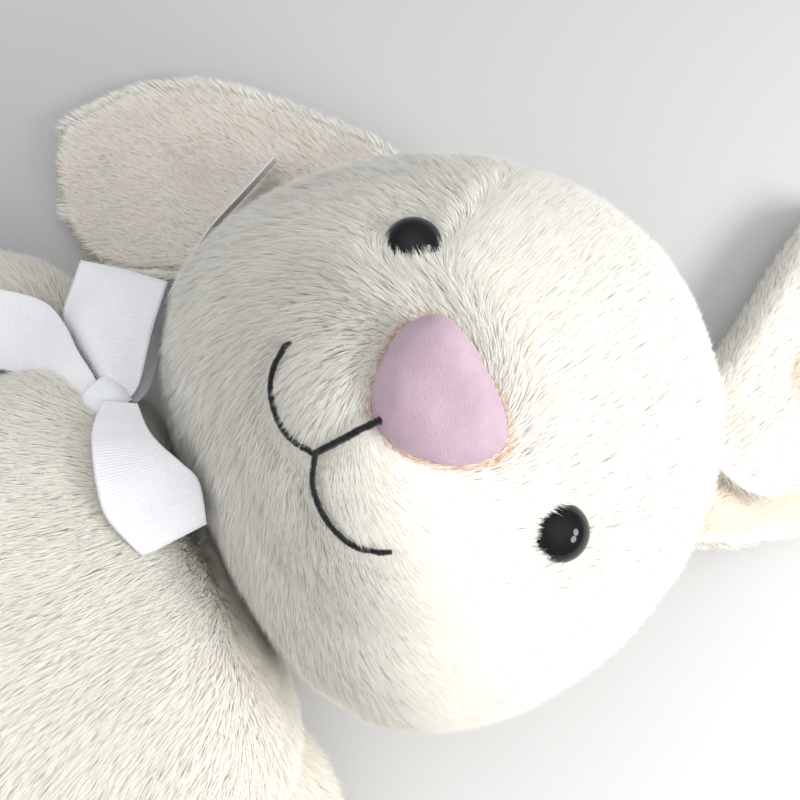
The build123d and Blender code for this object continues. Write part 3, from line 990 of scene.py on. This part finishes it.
# --- Ears ---
def ear_sheet(line, near, far, rows, columns, fold=None, across=1.0, cup=0.0):
    """Points of an ear's middle sheet: rows along its line, columns from its near rim to its far one.
    A folded near rim turns up and back over the sheet, past fold = (start, radius)."""
    centre = curve_points(line, rows)
    near = np.clip(curve_points(np.array(near)[:, None], rows), 0.0006, None) * across
    far = np.clip(curve_points(np.array(far)[:, None], rows), 0.0006, None) * across
    tangent = unit(np.gradient(centre, axis=0))
    side = unit(np.cross(tangent, [0, 0, 1.0]))
    up = np.cross(side, tangent)
    v = np.linspace(-1, 1, columns)[None, :]
    flat = np.where(v < 0, v * near, v * far)
    rise = cup * flat ** 2
    if fold is not None:
        start, radius = fold
        past = np.clip(-flat - start, 0, None)
        turn = np.clip(past / radius, 0, pi)
        back = np.clip(past - pi * radius, 0, None)
        folded = -start - radius * np.sin(turn) + back
        rise = np.where(past > 0, cup * start ** 2 + radius * (1 - np.cos(turn)) * (1 - 3 * back), rise)
        flat = np.where(past > 0, folded, flat)
    return centre[:, None] + side[:, None] * flat[..., None] + up[:, None] * rise[..., None], centre


def sheet_normals(points):
    along = np.gradient(points, axis=0)
    over = np.gradient(points, axis=1)
    return unit(np.cross(over, along))


def pad_object(name, points, thickness):
    """A closed pad about a sheet, thickest in the middle."""
    rows, columns = points.shape[:2]
    normals = sheet_normals(points)
    v = np.linspace(-1, 1, columns)
    u = np.linspace(-1, 1, rows)
    full = (1 - np.abs(v[None, :]) ** 6) ** 0.5 * (1 - np.abs(u[:, None]) ** 12) ** 0.5
    half = (thickness / 2 * full)[..., None]
    verts = np.vstack([(points + normals * half).reshape(-1, 3), (points - normals * half).reshape(-1, 3)])
    faces = grid_faces(rows, columns)
    count = rows * columns
    faces += [tuple(reversed([i + count for i in face])) for face in grid_faces(rows, columns)]
    obj = mesh_object(name, verts, faces)
    return close_mesh(obj, 2e-5)


EAR_LINING_INSET = 0.88


def make_ear(side, line, near, far, pile, fold=None, cup=0.0, seed=81):
    """A plush back with a short-pile lining let into its upper face."""
    rows, columns = 110, 60
    points, centre = ear_sheet(line, near, far, rows, columns, fold, cup=cup)
    inner, _ = ear_sheet(line, near, far, rows, columns, fold, across=EAR_LINING_INSET, cup=cup)
    up = np.array([0, 0, 1.0])

    def rippled(p, shape):
        flat = p.reshape(-1, 3)
        wave = 0.0035 * noise(flat * (1, 1, 0), 0.045, seed) + 0.0015 * noise(flat, 0.018, seed)
        return p + up * wave.reshape(shape + (1,))

    points, inner = rippled(points, (rows, columns)), rippled(inner, (rows, columns))
    back = pad_object(side + "_ear_skin", points, 0.006)
    inner = inner[3:-6]
    inner = inner + sheet_normals(inner) * 0.0024
    lining = pad_object(side + "_ear_lining_cloth", inner, 0.0020)
    body = side + "_ear"
    dress(back, BACKING, body, [body + "_back"])
    dress(lining, LINING_CLOTH, body, [body + "_lining"])
    lined = BVHTree.FromObject(lining, bpy.context.evaluated_depsgraph_get())

    def unlined(p):
        return np.array([lined.find_nearest(q)[3] > 0.0021 for q in p], float)

    ahead = unit(centre[-1] - centre[0])
    middle = (centre[0] + centre[-1]) / 2

    def comb(p, n):
        return ahead + 0.35 * (p - middle) / 0.05 * (1, 1, 0)

    fur(body + "_fur", back, body, HEAD_FUR, comb, dense(150), 0.0072, 0.0004, seed=seed, keep=unlined)
    fur(body + "_lining_pile", lining, body, pile, comb, dense(240), 0.0056, 0.00034, lean=1.3,
        clump=0.08, soft=0.95, seed=seed + 1)


def make_ears():
    right = [(-0.092, 0.352, 0.050), (-0.112, 0.342, 0.028), (-0.146, 0.310, 0.014), (-0.180, 0.268, 0.009),
             (-0.200, 0.232, 0.009), (-0.208, 0.200, 0.009), (-0.2105, 0.182, 0.009), (-0.212, 0.170, 0.009)]
    make_ear("right", right, [0.018, 0.026, 0.042, 0.055, 0.057, 0.050, 0.036, 0.001],
             [0.018, 0.026, 0.042, 0.054, 0.060, 0.054, 0.042, 0.001], LINING_FUR, cup=1.2, seed=81)
    left = [(0.086, 0.366, 0.052), (0.088, 0.392, 0.032), (0.087, 0.428, 0.014), (0.078, 0.462, 0.009),
            (0.067, 0.488, 0.009), (0.048, 0.520, 0.009), (0.022, 0.566, 0.009), (0.006, 0.602, 0.009)]
    make_ear("left", left, [0.020, 0.044, 0.118, 0.128, 0.092, 0.084, 0.058, 0.001],
             [0.012, 0.014, 0.032, 0.050, 0.056, 0.052, 0.038, 0.001], PEACH_FUR,
             fold=(0.042, 0.0085), cup=0.8, seed=91)


# --- Ribbon ---
RIB_DEPTH = 0.00016
RIBBON_THICKNESS = 0.0005


def ribbon_strip(name, rows, body, nodes, swell=0.0, columns=26):
    """A grosgrain strip through rows of points from its left edge to its right one, with a rib at every
    pitch of its length. swell lifts its middle by a share of its width."""
    rows = np.array([curve_points(row, columns) if len(row) > 2 else np.linspace(*row, columns)
                     for row in rows])
    rough = curve_points(rows.reshape(len(rows), -1), 400)
    steps = np.linalg.norm(np.diff(rough.reshape(400, columns, 3).mean(axis=1), axis=0), axis=1)
    reach = np.concatenate([[0], np.cumsum(steps)])
    count = int(reach[-1] / (RIB_PITCH / 4)) + 2
    even = np.linspace(0, reach[-1], count)
    sheet = np.stack([np.interp(even, reach, column) for column in rough.T], axis=1).reshape(count, columns, 3)
    left, right = sheet[:, :1], sheet[:, -1:]
    v = np.linspace(0, 1, columns)[None, :, None]
    normals = sheet_normals(sheet)
    width = np.linalg.norm(right - left, axis=2, keepdims=True)
    sheet = sheet + normals * (width * swell * (1 - (2 * v - 1) ** 2))
    normals = sheet_normals(sheet)
    ribs = RIB_DEPTH * np.cos(2 * pi * even / RIB_PITCH)[:, None, None] * np.ones_like(v)
    hem = RIB_DEPTH * 1.5 * (np.abs(2 * v - 1) > 0.95)
    half = RIBBON_THICKNESS / 2
    top = sheet + normals * (half + ribs * (hem == 0) + hem)
    bottom = sheet - normals * (half + ribs * (hem == 0) + hem)
    verts = np.vstack([top.reshape(-1, 3), bottom.reshape(-1, 3)])
    total = count * columns
    faces = [tuple(reversed(face)) for face in grid_faces(count, columns)]
    faces += [tuple(i + total for i in face) for face in grid_faces(count, columns)]
    for i in range(count - 1):
        for j in (0, columns - 1):
            a, b = i * columns + j, (i + 1) * columns + j
            faces.append((a, b, b + total, a + total))
    for i in (0, count - 1):
        for j in range(columns - 1):
            a, b = i * columns + j, i * columns + j + 1
            faces.append((a, b, b + total, a + total))
    obj = close_mesh(mesh_object(name, verts, faces))
    obj.data.materials.append(RIBBON_CLOTH)
    if body:
        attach(obj, body)
    if nodes:
        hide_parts(*nodes)
    return obj, reach[-1]


LEFT_LOOP = [   # in mm, from the knot out to the fold and back under
    ((-72, 167, 140), (-64, 180, 140)), ((-61, 160, 149), (-50, 181, 150)), ((-51, 157, 155), (-40, 184, 156)),
    ((-36, 153, 157), (-29, 189, 159)), ((-22, 151, 154), (-19, 192, 157)), ((-4, 156, 147), (-4, 187, 149)),
    ((-6, 156, 139), (-7, 186, 141)), ((-20, 151, 135), (-20, 184, 137)), ((-37, 147, 132), (-35, 181, 134)),
    ((-56, 145, 130), (-51, 174, 131)), ((-70, 145, 129), (-63, 167, 129)), ((-78, 150, 129), (-71, 166, 129))]
RIGHT_LOOP = [
    ((-78, 164, 128), (-73, 169, 133), (-69, 176, 133)), ((-95, 162, 122), (-82, 171, 134), (-74, 183, 131)),
    ((-111, 160, 120), (-95, 173, 135), (-86, 192, 130)), ((-122, 165, 123), (-108, 175, 134), (-96, 199, 128)),
    ((-131, 173, 123), (-118, 186, 130), (-105, 206, 125)),
    ((-141, 180, 119), (-128, 196, 120), (-114, 212, 119)),
    ((-142, 179, 111), (-130, 194, 111), (-115, 211, 111)),
    ((-128, 174, 106), (-115, 188, 106), (-101, 203, 106)), ((-108, 171, 108), (-98, 182, 108), (-86, 193, 108)),
    ((-88, 170, 118), (-81, 176, 118), (-73, 184, 118)), ((-76, 167, 126), (-74, 171, 126), (-68, 178, 126))]
LONG_TAIL = [
    ((-71, 161, 133), (-73, 167, 134)), ((-76, 155, 131), (-85, 167, 135)), ((-83, 149, 128), (-99, 165, 134)),
    ((-92, 144, 124), (-113, 164, 131)), ((-103, 137, 118), (-129, 159, 124)),
    ((-113, 126, 112), (-144, 145, 116)), ((-124, 108, 108), (-159, 124, 110)),
    ((-136, 86, 106), (-172, 100, 107)), ((-150, 64, 104), (-185, 79, 104)), ((-164, 44, 103), (-198, 60, 103))]
SHORT_TAIL_LINE = [
    (-128, 199, 40), (-144, 220, 38), (-158, 241, 38), (-168, 264, 38), (-178, 287, 38)]
SHORT_TAIL_RISE = np.array([5.5, -1, 18])      # from the middle to the upper edge
SHORT_TAIL = [(m - SHORT_TAIL_RISE, m + SHORT_TAIL_RISE) for m in np.array(SHORT_TAIL_LINE)]


def metres(rows):
    return [np.array(row) / 1000 for row in rows]


def make_ribbon(torso):
    """The bow: two loops and two tails drawn from one knot, and the band round the neck."""
    for side, rows in (("right", RIGHT_LOOP), ("left", LEFT_LOOP)):
        obj, run = ribbon_strip(side + "_loop_ribbon", metres(rows), "torso", ["bow_" + side + "_loop"])
    obj, run = ribbon_strip("long_tail_ribbon", metres(LONG_TAIL), None, ["ribbon_long_tail"])
    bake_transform(obj)
    obj, run = ribbon_strip("short_tail_ribbon", metres(SHORT_TAIL), "head", ["ribbon_short_tail"])
    make_band(torso)
    make_knot()


BAND_SINK = 0.0016            # how far above the backing the band sits, pressed into the pile


def make_band(torso):
    """The ribbon gathered round the neck, pressed into the torso's pile under the chin."""
    low, high = (np.array(c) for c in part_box("ribbon_band"))
    bvh = BVHTree.FromPolygons(*torso)
    rows = []
    for angle in np.linspace(-pi * 0.97, pi * 0.97, 64):
        direction = Vector((sin(angle), 0, cos(angle)))
        row = []
        for y in np.linspace(low[1] - 0.007, high[1], 5):
            centre = Vector((0, y, 0.070))
            hit = bvh.ray_cast(centre + direction * 0.4, -direction)[0]
            row.append(np.array(hit) + np.array(direction) * BAND_SINK)
        rows.append(row)
    obj, run = ribbon_strip("neck_band_ribbon", rows, "torso", ["ribbon_band"], columns=16)


def make_knot():
    """The knot: one short turn of ribbon, pinched."""
    middle = np.array([-0.0735, 0.1675, 0.1320])
    along = unit(np.array([0.80, 0.25, 0.0]))
    across = np.array([-along[1], along[0], 0.0])
    rows = []
    for angle in np.linspace(-pi, pi, 17):
        ring = across * np.sin(angle) * 0.0078 + np.array([0, 0, 1.0]) * np.cos(angle) * 0.0052
        rows.append((middle + ring - along * 0.0080, middle + ring + along * 0.0080))
    obj, run = ribbon_strip("knot_ribbon", rows, "torso", ["bow_knot"], swell=0.08)


# --- Stage, light and camera ---
SKY_POWER = 1.0


def make_stage():
    floor = mesh_object("floor", [(-3, -3, 0), (3, -3, 0), (3, 3, 0), (-3, 3, 0)], [(0, 1, 2, 3)])
    material, tree, shader = node_material("pale_table", rough=0.6, specular=0.3)
    # Painted light: the table's colour runs from darker at -X to lighter at +X, the side of the window panes.
    across = tree.nodes.new("ShaderNodeSeparateXYZ")
    tree.links.new(stretched(tree, (1.1, 1.1, 1.1), (0.5, 0, 0)), across.inputs["Vector"])
    color = ramp(tree, across.outputs["X"], [(0.15, (0.51, 0.51, 0.512)), (0.75, (0.66, 0.66, 0.66))])
    tree.links.new(color, shader.inputs["Base Color"])
    bump(tree, shader, noise_node(tree, 120.0), 0.2, 0.0005)
    floor.data.materials.append(material)
    world = bpy.data.worlds.new("soft_room")
    world.use_nodes = True
    tree = world.node_tree
    place = tree.nodes.new("ShaderNodeTexCoord")
    split_place = tree.nodes.new("ShaderNodeSeparateXYZ")
    tree.links.new(place.outputs["Generated"], split_place.inputs["Vector"])
    sky = ramp(tree, split_place.outputs["Z"], [(0.0, (0.40, 0.40, 0.402)), (0.55, (0.66, 0.662, 0.67)),
                                            (1.0, (1.28, 1.285, 1.30))])
    tree.links.new(sky, tree.nodes["Background"].inputs["Color"])
    tree.nodes["Background"].inputs["Strength"].default_value = SKY_POWER
    bpy.context.scene.world = world


KEY_POWER = 7.8
KEY_SIZE = 0.45
KEY_COLOR = (1.0, 0.985, 0.96)
KEY_PANES = {"pane_a": (0.92, 0.62, 0.70), "pane_b": (0.60, 0.96, 0.70)}    # from the head


def make_lights():
    """Two panes of a large window past the crown, to the toy's left."""
    for name, offset in KEY_PANES.items():
        light = bpy.data.lights.new(name, "AREA")
        light.shape = "DISK"
        light.size = KEY_SIZE
        light.energy = KEY_POWER
        light.color = KEY_COLOR
        obj = new_object(name, light)
        obj.location = HEAD + offset
        obj.rotation_euler = (-Vector(offset)).to_track_quat("-Z", "Y").to_euler()


CAMERA_TURN = radians(26)     # the face's up direction lies this far above the picture's right
CAMERA_TILT = radians(9)
CAMERA_LENS = 52.3


def make_camera():
    camera = bpy.data.cameras.new("camera")
    camera.lens = CAMERA_LENS
    camera.sensor_width = 36
    camera.clip_start = 0.05
    right = Vector((sin(CAMERA_TURN), cos(CAMERA_TURN), 0))
    down = Vector((cos(CAMERA_TURN), -sin(CAMERA_TURN), 0))
    forward = -sin(CAMERA_TILT) * down - Vector((0, 0, cos(CAMERA_TILT)))
    up = -(cos(CAMERA_TILT) * down - Vector((0, 0, sin(CAMERA_TILT))))
    place = Vector((0.0552, HEAD[1] - 0.0315, 0.6382))
    obj = new_object("camera", camera)
    basis = Matrix((right, up, -forward)).transposed()
    obj.matrix_world = Matrix.Translation(place) @ basis.to_4x4()
    bpy.context.scene.camera = obj


make_camera()
make_stage()
make_lights()
bpy.context.scene.view_settings.view_transform = "Standard"
stitch_lines = make_head()
make_nose()
make_eyes()
make_mouth(stitch_lines)
torso_shape = make_torso()
make_limbs()
make_pompom()
make_ears()
make_ribbon(torso_shape)
